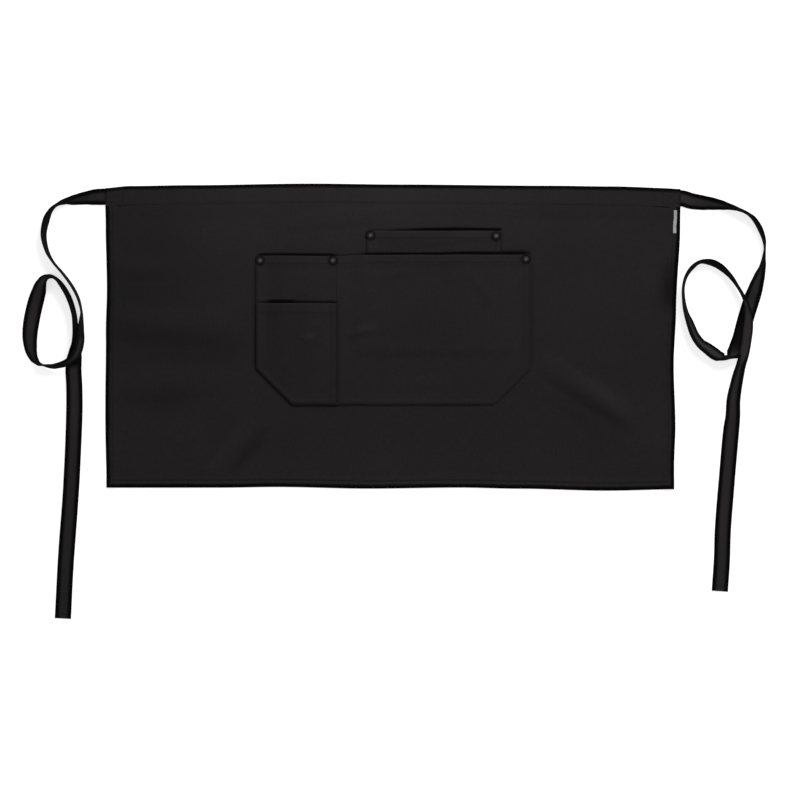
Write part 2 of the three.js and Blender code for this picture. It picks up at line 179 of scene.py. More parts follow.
# painted light and shade: patches where the black is painted paler or darker
paintedLightPatches = [
    (-385, 62, 0, 215, 205, -0.26), (-214, -14, 0, 46, 34, -0.12), (-10, 186, 0, 370, 108, 0.25),
    (39, -195, 0, 420, 78, 0.15), (366, -150, 0, 70, 120, 0.10), (372, 68, 0, 26, 44, -0.62),
    (20, 66, 0, 110, 60, 0.08), (56, 124, 0, 110, 14, -0.10), (-120, -20, 0, 80, 80, -0.07),
    (-305, -90, 0, 70, 22, -0.14), (-252, -16, 0, 90, 46, -0.08),
    (-210, -139, 55, 66, 14, 0.17), (-187, -153, 55, 56, 14, -0.17),      # painted highlight and shadow along the creases
    (284, -72, -33, 66, 16, 0.17), (250, -107, -30, 60, 15, -0.14),
    # painted highlights and shadows on the pocket creases
    (-30, 14, 8, 25, 9, 0.2), (-44, -1, 10, 26, 6, -0.08), (-107, -1, 14, 13, 5.5, 0.28),
    (-100, -12, 10, 16, 6, -0.12),
]


# a grid primitive whose corners are moved to where the cloth lies; flat is the cut cloth, for the weave
def clothGrid(name, columns, rows, shape):
    deselectAll()
    across = len(columns) - 1
    along = len(rows) - 1
    bpy.ops.mesh.primitive_grid_add(x_subdivisions=across, y_subdivisions=along, size=2)
    piece = bpy.context.object
    piece.name = name
    mesh = piece.data
    mesh.name = name
    corners = np.empty(len(mesh.vertices) * 3)
    mesh.vertices.foreach_get("co", corners)
    corners = corners.reshape(-1, 3)
    column = np.rint((corners[:, 0] + 1) / 2 * across).astype(int)
    row = np.rint((corners[:, 1] + 1) / 2 * along).astype(int)
    points, flat, folded, paintedShadow, wearAndPaintedLight = shape(column, row)
    mesh.vertices.foreach_set("co", (points * mm).ravel())
    mesh.uv_layers.active.name = "flat"
    writeFlat(mesh, flat)
    # painted shade marks: dark rims, and dark lines in gaps and round rivets
    markPoints(mesh, "paintedEdgeShade", folded)
    markPoints(mesh, "paintedShadow", paintedShadow)
    markPoints(mesh, "fade", wearAndPaintedLight + bumpsAt(paintedLightPatches, points[:, 0], points[:, 1]))
    mesh.update()
    return piece


# places of a hemmed cloth's grid lines: 0 is the front layer, 1 the folded edge, 2 the layer turned under
def hemStations(low, high, hemLow, hemHigh, step, bend=0.55, fine=()):
    turned = bend * (1 - math.sin(math.pi / 4))
    inset = 1.2      # both layers lie flat this far from the fold
    start = []
    if hemLow:
        start = [(low + hemLow * part, 2) for part in (1, 0.66, 0.33)]
        start += [(low + inset, 2), (low + turned, 1.5), (low, 1), (low + turned, 0.5)]
    end = []
    if hemHigh:
        end = [(high - turned, 0.5), (high, 1), (high - turned, 1.5), (high - inset, 2)]
        end += [(high - hemHigh * part, 2) for part in (0.33, 0.66, 1)]
    innerStart = low + inset if hemLow else low
    innerEnd = high - inset if hemHigh else high
    count = int(round((innerEnd - innerStart) / step))
    places = [mix(innerStart, innerEnd, k / count) for k in range(count + 1)]
    places = [p for p in places if all(abs(p - f) > 0.5 for f in fine)]
    inner = [(p, 0) for p in sorted(places + list(fine))]      # closer lines where asked
    stations = np.array(start + inner + end)
    cut = runFrom(np.hypot(np.diff(stations[:, 0]), np.diff(stations[:, 1]) * bend))
    return stations[:, 0], stations[:, 1], cut


def frontShare(layer):
    return (1 + np.cos(np.pi * layer / 2)) / 2


def solidCloth(piece, thickness):
    applyModifier(piece, "SOLIDIFY", {"thickness": thickness * mm, "offset": 0.0, "use_rim": True})
    faceOutward(piece)
    mesh = piece.data
    facing = np.empty(len(mesh.vertices) * 3)
    mesh.vertices.foreach_get("normal", facing)
    paintedShadow = np.empty(len(mesh.vertices))
    mesh.attributes["paintedShadow"].data.foreach_get("value", paintedShadow)
    paintedShadow[facing[2::3] < 0] = 0      # painted shadow is kept only on the front
    mesh.attributes["paintedShadow"].data.foreach_set("value", paintedShadow)
    smoothPiece(piece, 60)


# shader maths: a socket that takes part in Python sums
class Flow:
    def __init__(self, look, socket):
        self.look = look
        self.socket = socket

    def maths(self, kind, first, second=0.0):
        return self.look.node("ShaderNodeMath", {"operation": kind}, {0: first, 1: second})

    def __add__(self, other):
        return self.maths("ADD", self, other)

    def __radd__(self, other):
        return self.maths("ADD", other, self)

    def __sub__(self, other):
        return self.maths("SUBTRACT", self, other)

    def __rsub__(self, other):
        return self.maths("SUBTRACT", other, self)

    def __mul__(self, other):
        return self.maths("MULTIPLY", self, other)

    def __rmul__(self, other):
        return self.maths("MULTIPLY", other, self)

    def larger(self, other):
        return self.maths("MAXIMUM", self, other)

    def sine(self):
        return self.maths("SINE", self)

    def between(self, low, high):
        sockets = {"Value": self, "From Min": low, "From Max": high}
        return self.look.node("ShaderNodeMapRange", {"clamp": True}, sockets)


class Look:
    def __init__(self, name):
        self.material = bpy.data.materials.new(name)
        self.material.use_nodes = True
        self.tree = self.material.node_tree
        self.surface = self.tree.nodes["Principled BSDF"]

    def node(self, kind, settings=None, sockets=None, out=0):
        made = self.tree.nodes.new(kind)
        for key, value in (settings or {}).items():
            setattr(made, key, value)
        for key, value in (sockets or {}).items():
            self.feed(made.inputs[key], value)
        return Flow(self, made.outputs[out])

    def feed(self, socket, value):
        if isinstance(value, Flow):
            self.tree.links.new(value.socket, socket)
        else:
            socket.default_value = value

    def finish(self, **values):
        for key, value in values.items():
            self.feed(self.surface.inputs[key.replace("_", " ")], value)
        return self.material

    def blend(self, share, first, second):
        colours = {0: share, 6: first, 7: second}
        return self.node("ShaderNodeMix", {"data_type": "RGBA"}, colours, out=2)

    def speckle(self, place, scale, detail=2.0):
        return self.node("ShaderNodeTexNoise", {}, {"Vector": place, "Scale": scale, "Detail": detail})

    def streaks(self, place, scale, detail):
        drawn = self.node("ShaderNodeMapping", {}, {"Vector": place, "Scale": scale})
        return self.speckle(drawn, 1.0, detail)

    def bump(self, height, distance):
        return self.node("ShaderNodeBump", {}, {"Height": height, "Distance": distance})

    def mark(self, key):
        return self.node("ShaderNodeAttribute", {"attribute_name": key}, out=2)

    def place(self):
        return self.node("ShaderNodeTexCoord", {}, out=3)

    def flatPlace(self):
        flat = self.node("ShaderNodeUVMap", {"uv_map": "flat"})
        across = self.node("ShaderNodeSeparateXYZ", {}, {0: flat})
        return flat, across, Flow(self, across.socket.node.outputs[1])


# black twill: diagonal ribs, uneven yarns, slow random changes of tone, painted patches of light and shade,
# and painted shade on folded edges
twillLook = {
    "dark": (0.0082, 0.0073, 0.0078, 1),
    "light": (0.0157, 0.0140, 0.0149, 1),
    # the near-black that painted shade blends the cloth to
    "edge": (0.0010, 0.0009, 0.0009, 1),
    "ribPitch": 0.00082,
    "yarnPitch": 0.00046,
    "ribBump": 0.00010,
    "rough": (0.86, 0.97),
    # painted light: where and how much the cloth grows paler towards the waist
    "paleAt": 0.42,
    "pale": 0.36,
    "warp": (900, 90, 1),
    "weft": (70, 800, 1),
    "nap": 0.25,
    "napRough": 0.8,
    "napBend": 1.3,
    "shine": 0.008,
    "sheen": 0.012,
}


def makeTwill(name, setup, paintedShadeDepth):
    look = Look(name)
    flat, u, v = look.flatPlace()
    ribs = ((u * 0.82 + v * 0.57) * (fullTurn / setup["ribPitch"])).sine()
    yarns = (u * (fullTurn / setup["yarnPitch"])).sine()
    slubWarp = look.streaks(flat, setup["warp"], 3.0)
    slubWeft = look.streaks(flat, setup["weft"], 3.0)
    grain = look.speckle(flat, 420.0, 2.0)
    cloudy = look.speckle(flat, 9.0, 3.0)
    # painted shade: dark rims, dark lines at the pocket mouths and rings round the rivets
    paintedShade = look.mark("paintedEdgeShade").larger(look.mark("paintedShadow"))
    # scales the colour: painted patches of light and shade, and paler bands
    fade = look.mark("fade")
    shade = 0.5 + ribs * 0.16 + yarns * 0.05 + (slubWarp - 0.5) * 0.9 + (slubWeft - 0.5) * 0.7
    paintedWaistLight = v.between(0.0, setup["paleAt"])      # painted light: a little paler towards the waist, the side the key light stands on
    shade = shade + (grain - 0.5) * 0.5 + (cloudy - 0.5) * 0.5 + (paintedWaistLight - 0.5) * setup["pale"]
    colour = look.blend(shade.between(0.0, 1.0), setup["dark"], setup["light"])
    colour = look.node("ShaderNodeVectorMath", {"operation": "SCALE"}, {0: colour, "Scale": 1 + fade})
    colour = look.blend(paintedShade * paintedShadeDepth, colour, setup["edge"])
    low, high = setup["rough"]
    rough = low + (high - low) * slubWeft
    height = ribs * 0.5 + yarns * 0.25 + slubWarp * 0.8 + slubWeft * 0.6
    normal = look.bump(height, setup["ribBump"])
    nap = (1 - paintedShade) * setup["nap"]      # the rubbed nap catches light from low down
    look.finish(Base_Color=colour, Roughness=rough, Normal=normal, Coat_Weight=nap)
    look.finish(Coat_Roughness=setup["napRough"], Coat_IOR=setup["napBend"])
    return look.finish(Specular_IOR_Level=setup["shine"], Sheen_Weight=setup["sheen"], Sheen_Roughness=0.6)


# thread a little smoother than the cloth, twisted along each stitch
threadLook = {"dark": (0.0020, 0.0018, 0.0019, 1), "light": (0.0075, 0.0068, 0.0071, 1), "twist": 2600.0}


def makeThread(name, setup):
    look = Look(name)
    place = look.place()
    fine = look.speckle(place, setup["twist"], 2.0)
    slow = look.speckle(place, 60.0, 2.0)
    colour = look.blend(fine * 0.7 + slow * 0.3, setup["dark"], setup["light"])
    normal = look.bump(fine, 0.00006)
    look.finish(Base_Color=colour, Roughness=0.62 + 0.25 * slow, Normal=normal)
    return look.finish(Specular_IOR_Level=0.06)


# gunmetal with a thin brighter rub on the high places
metalLook = {"dark": (0.012, 0.012, 0.013, 1), "bright": (0.108, 0.105, 0.105, 1)}


def makeGunmetal(name, setup):
    look = Look(name)
    place = look.place()
    spots = look.speckle(place, 900.0, 4.0)
    scratch = look.streaks(place, (5200, 500, 500), 2.0)
    rub = look.mark("rub")
    wearAndPaintedLight = (rub * 0.85 + (spots - 0.5) * 0.45).between(0.04, 0.95)
    colour = look.blend(wearAndPaintedLight, setup["dark"], setup["bright"])
    rough = 0.68 - wearAndPaintedLight * 0.1 + (scratch - 0.5) * 0.14
    normal = look.bump(scratch * 0.5 + spots * 0.5, 0.00003)
    return look.finish(Base_Color=colour, Roughness=rough, Metallic=1.0, Normal=normal)


# pale woven tape, bare
tapeLook = {"dark": (0.19, 0.19, 0.187, 1), "light": (0.40, 0.40, 0.395, 1), "rib": 0.00055}


def makeTape(name, setup):
    look = Look(name)
    flat, u, v = look.flatPlace()
    warp = (u * (fullTurn / setup["rib"])).sine()
    weft = (v * (fullTurn / setup["rib"])).sine()
    slow = look.speckle(flat, 160.0, 3.0)
    woven = 0.5 + warp * weft * 0.3 + (slow - 0.5) * 0.8
    colour = look.blend(woven.between(0.0, 1.0), setup["dark"], setup["light"])
    normal = look.bump(warp * weft, 0.00008)
    return look.finish(Base_Color=colour, Roughness=0.82 + 0.1 * slow, Normal=normal)


# the last number is how deep the painted shade goes
clothMaterial = makeTwill("black_twill", twillLook, 0.94)
strapMaterial = makeTwill("black_twill_strap", dict(twillLook, ribPitch=0.0007, pale=0.0), 0.98)
threadMaterial = makeThread("black_thread", threadLook)
fadedThread = dict(threadLook, dark=threadLook["light"], light=(0.0150, 0.0136, 0.0142, 1))
fadedThreadMaterial = makeThread("faded_black_thread", fadedThread)
tieThreadMaterial = makeThread("black_tie_thread", dict(threadLook, light=threadLook["dark"]))
rivetMaterial = makeGunmetal("gunmetal", metalLook)
tapeMaterial = makeTape("pale_tape", tapeLook)
print("materials made")


def dress(piece, material):
    piece.data.materials.clear()
    piece.data.materials.append(material)
    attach(piece, "root")


# ties: x, y, lean from flat to on edge in degrees, and how far the lower edge is off the floor
tieStrap = {"width": 21.5, "thickness": 1.5, "stepsPerRow": 12, "seamIn": 2.4, "wobble": 0.35}
leftRoute = [
    (-352, 186, 0, 1.25), (-378, 184.7, 0, 1.25), (-390, 184.1, 18, 0.6), (-403, 182.6, 40, 0),
    (-417, 180.2, 54, 0), (-429.7, 178, 72, 0), (-440.8, 173.5, 84, 0), (-448.4, 166.4, 79, 0),
    (-454.2, 153.8, 70, 0), (-457.7, 134, 73, 0), (-453.7, 114, 79, 0), (-445, 98, 84.5, 0),
    (-431.7, 82.3, 84, 0), (-420, 66, 83, 0), (-412, 50, 84, 0), (-407.8, 33, 87, 0),
    (-408, 22, 79, 0.3), (-408.6, 11, 71, 1.0), (-409.5, -5, 62, 2.8), (-412.6, -18, 58, 4.6),
    (-418.6, -28.4, 60, 7.2), (-429, -35.4, 68, 8.2), (-441.9, -39, 73, 4.2), (-451, -39.2, 77, 1.4),
    (-459, -37.4, 84, 0.3), (-466, -33.2, 66, 0), (-472, -24.5, 48, 0), (-475.3, -12, 31, 0),
    (-476.2, 4, 16, 0), (-474, 23, 2, 0), (-469.6, 42.8, 3, 0), (-464.6, 58.8, 21, 0),
    (-459.9, 70.9, 43, 0), (-452.2, 78.5, 69, 0), (-442.6, 77.2, 81, 0), (-432.8, 66.2, 75, 0),
    (-423.9, 50, 74, 0), (-417.7, 30, 75.5, 0), (-415.7, 10, 73, 0), (-415.5, -6, 66, 0),
    (-416.6, -19, 46, 0), (-418, -31, 22, 0), (-418.9, -45, 8, 0), (-417.9, -66, 6, 0),
    (-417.8, -100, 5, 0), (-419.6, -150, 3, 0), (-422.8, -211, 4, 0), (-429, -295, 2, 0),
    (-433, -372, 0, 0),
]
rightRoute = [
    (357, 183.4, 0, 1.25), (383, 182.6, 0, 1.25), (395, 179.2, 10, 0.6), (408, 177, 26, 0),
    (422, 175.4, 42, 0), (435, 173.4, 56.5, 0), (447.8, 170.6, 72, 0), (458.8, 167.3, 82, 0),
    (469.6, 162.4, 84.5, 0), (478.4, 155, 79, 0), (486.2, 142.6, 76.5, 0), (491.4, 128, 82, 0),
    (492.5, 116, 89, 0), (491.3, 105, 83, 0), (489.6, 92, 70, 0), (485.1, 77.2, 49, 0),
    (480, 61, 28, 0), (474.6, 44.8, 5, 0), (467.4, 21, 2, 0), (461.6, -1, 2, 0),
    (458, -11, 4, 0), (455, -18.5, 14, 0), (451.2, -23.8, 48, 0), (445.5, -26.7, 73, 0),
    (438.6, -28, 70, 0), (432.4, -26.2, 47, 0), (426, -22.2, 39, 0), (418, -16.2, 42, 0),
    (408.6, -9.4, 50, 0), (400.6, 1.7, 54, 0), (394.8, 16, 58, 0), (388.6, 32.8, 69.5, 0),
    (385.6, 50, 75.5, 0), (385.4, 66, 78, 0), (389.2, 80, 76.5, 0), (397, 91.1, 74.5, 0),
    (408, 98.6, 78, 0), (422, 97.7, 69, 0), (434.6, 91.4, 70, 0), (447.3, 79.4, 78, 0.4),
    (456.3, 66.6, 83.5, 1.6), (463.6, 54, 83, 3), (468.8, 41, 76, 3.2), (471, 26, 63, 3.4),
    (470, 10, 55, 3.6), (468, -6, 56, 4.4), (464.9, -23, 56, 5.6), (460.6, -39, 57, 4.4),
    (455.5, -61, 46.5, 0.8), (451.6, -84, 36, 0), (450.8, -105, 29, 0), (448.2, -130, 12, 0),
    (443.1, -190, 2, 0), (438.2, -252, 2, 0), (436.7, -295, 2, 0), (434, -336, 0, 0),
]


# smooth line through rows of numbers
def smoothRows(rows, share, tension):
    last = len(rows) - 1
    spot = share * last
    index = min(int(spot), last - 1)
    t = spot - index
    first = rows[index]
    second = rows[index + 1]
    before = rows[index - 1] if index > 0 else 2 * rows[0] - rows[1]
    after = rows[index + 2] if index + 2 <= last else 2 * rows[-1] - rows[-2]
    leave = tension * (second - before)
    arrive = tension * (after - first)
    square = t * t
    cube = square * t
    curve = (-3 * first + 3 * second - 2 * leave - arrive) * square
    return first + leave * t + curve + (2 * first - 2 * second + leave + arrive) * cube


def strapPlace(route, share, strap):
    rows = np.array(route, dtype=float)
    x, y = smoothRows(rows[:, :2], share, 0.5)
    degrees, lifted = smoothRows(rows[:, 2:], share, 0.3)
    lean = math.radians(min(90.0, max(0.0, degrees)))
    rise = math.sin(lean) * strap["width"] / 2 + math.cos(lean) * strap["thickness"] / 2
    return np.array([x, y, max(0.0, lifted) + rise]), lean


# places along a strap: middle, direction along, across and through it
def strapFrames(route, side, strap):
    count = (len(route) - 1) * strap["stepsPerRow"]
    up = np.array([0.0, 0.0, 1.0])
    frames = []
    for step in range(count + 1):
        share = step / count
        middle, lean = strapPlace(route, share, strap)
        ahead = strapPlace(route, min(1.0, share + 0.002), strap)[0]
        behind = strapPlace(route, max(0.0, share - 0.002), strap)[0]
        along = (ahead - behind) / np.linalg.norm(ahead - behind)
        level = np.cross(up, along)
        level = level / np.linalg.norm(level)
        across = level * math.cos(lean) + up * side * math.sin(lean)
        across = across - along * across.dot(along)
        across = across / np.linalg.norm(across)
        frames.append((middle, along, across, np.cross(along, across)))
    return frames


# half thickness over the strap's width: rounded folded edges and a groove along each seam
def strapHalf(offset, strap):
    reach = np.abs(offset) / (strap["width"] / 2)
    body = strap["thickness"] / 2 * np.sqrt(np.maximum(0.0, 1 - reach ** 7))
    seam = strap["width"] / 2 - strap["seamIn"]
    groove = 0.22 * np.exp(-(((np.abs(offset) - seam) / 0.6) ** 2))
    return np.maximum(0.0, body - groove * (reach < 0.97))


# painted shade, dark rims and paler middles: how far along counts as another part of the tie, how much
# higher lies over it
strapShade = {"otherPart": 70, "higher": 3, "rim": 1.85, "rimSoft": 3.8, "farAt": 640, "farSoft": 120}


def shadeStrap(mesh, frames, travel, fromEdge, wearAndPaintedLight, shade):
    size = len(fromEdge) // len(frames)
    middles = np.array([f[0] for f in frames])
    onEdge = np.array([1 - abs(f[3][2]) for f in frames])      # 0 lying flat, 1 standing on its edge
    apart = np.linalg.norm(middles[:, None, :2] - middles[None, :, :2], axis=2)
    other = np.abs(travel[:, None] - travel[None, :]) > shade["otherPart"]
    above = middles[None, :, 2] > middles[:, None, 2] + shade["higher"]
    below = middles[None, :, 2] < middles[:, None, 2] - shade["higher"]
    right = middles[None, :, 0] > middles[:, None, 0] + 1
    # painted shadow where another part of the tie lies over it on the key light's side
    under = 1 - ease((np.where(other & above & right, apart, 99).min(axis=1) - 8) / 9)
    # painted light where the tie lies over another part of itself: its rim and on-edge shade are lessened
    over = wearAndPaintedLight["over"] * (1 - ease((np.where(other & below, apart, 99).min(axis=1) - 9) / 8))
    # painted shade where the tie stands on edge, facing away from the light above, and in its own shadow
    paintedEdgeOnShade = np.repeat(np.maximum(ease((onEdge - 0.53 - 0.2 * over) / 0.16), 0.9 * under), size)
    flatness = np.repeat(np.maximum(0.25, 1 - onEdge), size)
    # painted shade: dark rims along the tie's edges
    paintedRim = ease(shade["rim"] - np.repeat(over, size) - fromEdge * flatness / shade["rimSoft"])
    markPoints(mesh, "paintedEdgeShade", np.maximum(paintedRim, paintedEdgeOnShade))
    far = ease((travel - shade["farAt"]) / shade["farSoft"])      # paler near the waist
    paleAlong = np.repeat(mix(wearAndPaintedLight["near"], wearAndPaintedLight["far"], far), size)
    # paler again where the tie leans up from flat
    markPoints(mesh, "fade", paleAlong / np.maximum(0.45, flatness))


def makeStrap(name, route, side, strap, wearAndPaintedLight):
    frames = strapFrames(route, side, strap)
    half = strap["width"] / 2
    seam = half - strap["seamIn"]
    offsets = [-half, -half * 0.985, -half * 0.93, -half * 0.86, -seam, -seam + 0.9]
    offsets += [-half * 0.56, -half * 0.3, 0]
    offsets = np.array(offsets + [-value for value in reversed(offsets[:-1])])
    thick = strapHalf(offsets, strap)
    ring = [(o, t) for o, t in zip(offsets, thick)]
    ring += [(o, -t) for o, t in zip(offsets[-2:0:-1], thick[-2:0:-1])]
    middles = np.array([f[0] for f in frames])
    travel = runFrom(np.linalg.norm(np.diff(middles, axis=0), axis=1))
    points = []
    for (middle, along, across, through), distance in zip(frames, travel):
        wave = noise.noise(Vector((distance / 38.0, side * 4.0, 0.3))) * strap["wobble"]
        narrow = 1 + 0.018 * noise.noise(Vector((distance / 55.0, side * 9.0, 2.1)))
        for offset, up in ring:
            spot = middle + across * offset * narrow + through * (up + wave * abs(offset) / half * 0.5)
            points.append(spot * mm)
    points = np.array(points)
    points[:, 2] = np.maximum(points[:, 2], 0.00002)
    size = len(ring)
    faces = []
    for step in range(len(frames) - 1):
        for corner in range(size):
            nextCorner = (corner + 1) % size
            low = step * size
            high = low + size
            faces.append((low + corner, low + nextCorner, high + nextCorner, high + corner))
    faces.append(tuple(reversed(range(size))))
    faces.append(tuple(range((len(frames) - 1) * size, len(frames) * size)))
    piece = meshPiece(name, points, faces)
    mesh = piece.data
    offsetsAll = np.tile(np.array([o for o, _ in ring]), len(frames))
    mesh.uv_layers.new(name="flat")
    writeFlat(mesh, np.stack([offsetsAll, np.repeat(travel, size)], 1))
    shadeStrap(mesh, frames, travel, half - np.abs(offsetsAll), wearAndPaintedLight, strapShade)
    faceOutward(piece)
    smoothPiece(piece, 55)
    return piece, frames, travel


# how much paler each tie is painted near the waist and far from it, and how much painted light lifts it
# where it lies over itself
leftTieToneAndLight = {"near": 0.25, "far": 0.05, "over": 0.3}
rightTieToneAndLight = {"near": 0.8, "far": 0.35, "over": 0.9}
leftTie, leftFrames, leftTravel = makeStrap("tie_left_strap", leftRoute, -1, tieStrap, leftTieToneAndLight)
rightTie, rightFrames, rightTravel = makeStrap("tie_right_strap", rightRoute, 1, tieStrap, rightTieToneAndLight)
ties = (
    (leftTie, "tie_left", leftFrames, leftTravel, (-0.377, 0.1848, 0.002)),
    (rightTie, "tie_right", rightFrames, rightTravel, (0.382, 0.1827, 0.002)),
)
for tie, node, frames, travel, wayOut in ties:
    dress(tie, strapMaterial)
    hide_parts(node)
    travel[-1] * mm
    [tuple(f[0] * mm) for f in frames]
print("ties laid:", round(leftTravel[-1]), round(rightTravel[-1]), "mm long")


# outline of the panel: place along the edge, then where the edge runs
topEdge = [(-384, 196.6), (-344, 198.5), (-265, 199.6), (-106, 201.7), (12, 200.5), (210, 198.9),
           (290, 198.0), (384, 195.2)]
bottomEdge = [(-384, -199.0), (-225, -198.9), (-150, -198.0), (-27, -200.2), (92, -198.8), (171, -200.3),
              (285, -202.9), (384, -201.0)]
leftEdge = [(-204, -375.0), (-105, -376.6), (0, -375.8), (66, -374.5), (146, -376.1), (202, -377.0)]
rightEdge = [(-204, 373.3), (-171, 373.3), (-118, 375.0), (-39, 372.8), (40, 375.9), (146, 381.3),
             (202, 382.0)]

# pockets: outline, cut lower corners, mouth hem and how the mouths stand open
# edge sets the painted dark line along a pocket's edges; deep and spans shape the painted shadow behind its
# mouth
pocketCloth = {"thickness": 0.8, "turnIn": 6.0, "step": 3.0, "drop": 0.5, "double": 0.95, "fade": 5.0,
               "rim": 2.6, "sagTo": -64, "sagSoft": 20}
backPocket = {"left": -32.3, "right": 146.5, "bottom": -10.0, "top": 139.6, "cut": 0.0, "hem": 10.5,
              "cutRight": False, "bow": -0.5, "sag": 0, "edge": 0.25, "deep": [84],
              "spans": [(96, 112, 60, 1)]}
mainPocket = {"left": -178.2, "right": 184.8, "bottom": -89.9, "top": 108.0, "cut": 48.0, "hem": 12.5,
              "cutRight": True, "bow": -0.8, "sag": 1.3, "edge": 0.12, "deep": [112, 168],
              "spans": [(-124, 58, 14, 0.95), (72, 116, 14, 0.95)]}
smallPocket = {"left": -178.2, "right": -70.2, "bottom": -89.9, "top": 43.8, "cut": 48.0, "hem": 14.0,
               "cutRight": False, "bow": -0.2, "sag": 0, "edge": 0.36, "deep": [-150],
               "spans": [(-144, 27, 14, 1), (-112, 48, 14, 0.64)]}
mouthRows = (-1.2, 0.0, 1.1, 2.2, 3.3, 4.4, 5.5, 6.6)      # closer rows of cloth behind a mouth
# middle, half width, bottom, top and opening of each mouth
mouths = {
    "back": (56, 74, -10, 141.5, 6.2),
    "mainRight": (57, 112, -89.9, 109.3, 6.4),
    "mainLeft": (-124.2, 41, -89.9, 109.3, 5.8),
    "small": (-124.6, 44, -89.9, 45.4, 7.0),
}
mainFolds = [
    (-38, 7, 10, 26, 7, 1.7), (-6, -40, 86, 46, 6, 1.0), (122, 62, -54, 46, 10, 1.5),
    (40, -62, 4, 60, 12, 0.9), (140, -20, 70, 46, 12, 1.0), (8, 84, 8, 50, 9, 0.9),
]
smallFolds = [(-107, -1, 14, 15, 5, 2.0), (-140, -40, 60, 34, 9, 1.0), (-92, 16, 80, 22, 7, 0.8)]
backFolds = [(60, 124, 2, 46, 5, 0.8), (104, 130, -4, 34, 4, 0.6)]
rivetPlaces = [(-172.8, 100.1), (-76.7, 100.3), (178.1, 102.0), (-27.1, 133.3), (138.7, 132.5)]


def bowAt(pocket, x):
    across = (x - (pocket["left"] + pocket["right"]) / 2) / (pocket["right"] - pocket["left"]) * 2
    low = 1 - ease((x - pocketCloth["sagTo"]) / pocketCloth["sagSoft"])
    return pocket["bow"] * np.maximum(0, 1 - across * across) - pocket["sag"] * low


# painted shadow: a dark line on the cloth just above each mouth, where the gap behind it lies in shade
mouthShade = {"below": 25, "tall": 1.4, "open": 1.4, "deep": 1.2, "deepHalf": 60, "soft": 2.4}


def insideMouth(pocket, x, y, shade=mouthShade):
    above = y - pocket["top"] - bowAt(pocket, x)
    within = (x > pocket["left"] + 1) & (x < pocket["right"] - 1) & (above > -shade["below"])
    gaping = np.zeros(np.shape(x))
    for middle, half, soft, share in pocket["spans"]:
        gaping = np.maximum(gaping, share * ease((half - np.abs(x - middle)) / soft))
    near = np.zeros(np.shape(x))
    for middle in pocket["deep"]:
        near = np.maximum(near, hump((x - middle) / shade["deepHalf"]))
    tall = shade["tall"] + shade["open"] * gaping + shade["deep"] * near
    return within * (0.5 + 0.5 * gaping) * (1 - ease((above - tall) / shade["soft"]))


# painted shadow: a dark ring on the cloth round each rivet
ringShade = {"radius": 5.2, "soft": 3.0, "dark": 0.85}


def rivetRing(x, y, shade=ringShade):
    ring = np.zeros(np.shape(x))
    for rivetX, rivetY in rivetPlaces:
        away = np.hypot(x - rivetX, y - rivetY) - shade["radius"]
        ring = np.maximum(ring, 1 - ease(away / shade["soft"]))
    return ring * shade["dark"]


# painted shade: a soft dark line beside the main pocket's sides
besideShade = {"left": 0.34, "leftWide": 5.5, "right": 0.17, "rightWide": 7.5, "ends": 8}


def besidePocket(x, y, shade=besideShade):
    low = mainPocket["bottom"] + mainPocket["cut"]
    high = mainPocket["top"] - shade["ends"]
    tall = ease((y - low) / shade["ends"]) * ease((high - y) / shade["ends"])
    left = shade["left"] * (1 - ease((mainPocket["left"] - x) / shade["leftWide"])) * (x < -100)
    right = shade["right"] * (1 - ease((x - mainPocket["right"]) / shade["rightWide"])) * (x > 100)
    return tall * (left + right)


panelCloth = {
    "half": 375.0, "low": -200.0, "high": 196.0, "tall": 400.0, "thickness": 0.9, "hem": 10.0, "layer": 1.1,
    "fade": 7.0, "step": 3.3, "bandLift": 1.3, "notch": 29.0, "bandHeight": 24.0,
    "pucker": 0.22, "puckerPitch": 8.5, "roll": 0.95, "rim": 6.5, "rimSoft": 3.6, "seamIn": 9.6,
    "rollIn": 6.9,
}
panelFolds = [
    (258, -74, -34, 92, 20, 5.2),
    (300, -104, -38, 50, 12, 1.8),
    (-306, 16, -2, 116, 30, 4.6),
    (-330, 90, 2, 60, 18, 2.2),
    (-300, -62, 3, 108, 26, 3.8),
    (-199, -146, 55, 64, 17, 4.8),
    (378, 64, 0, 74, 28, 3.8),
    (-60, 157, 3, 120, 17, 1.5),
]


def bandLift(x, y):
    below = edgeAt(topEdge, x) - y
    return panelCloth["bandLift"] * (1 - ease((below - 26) / 20))


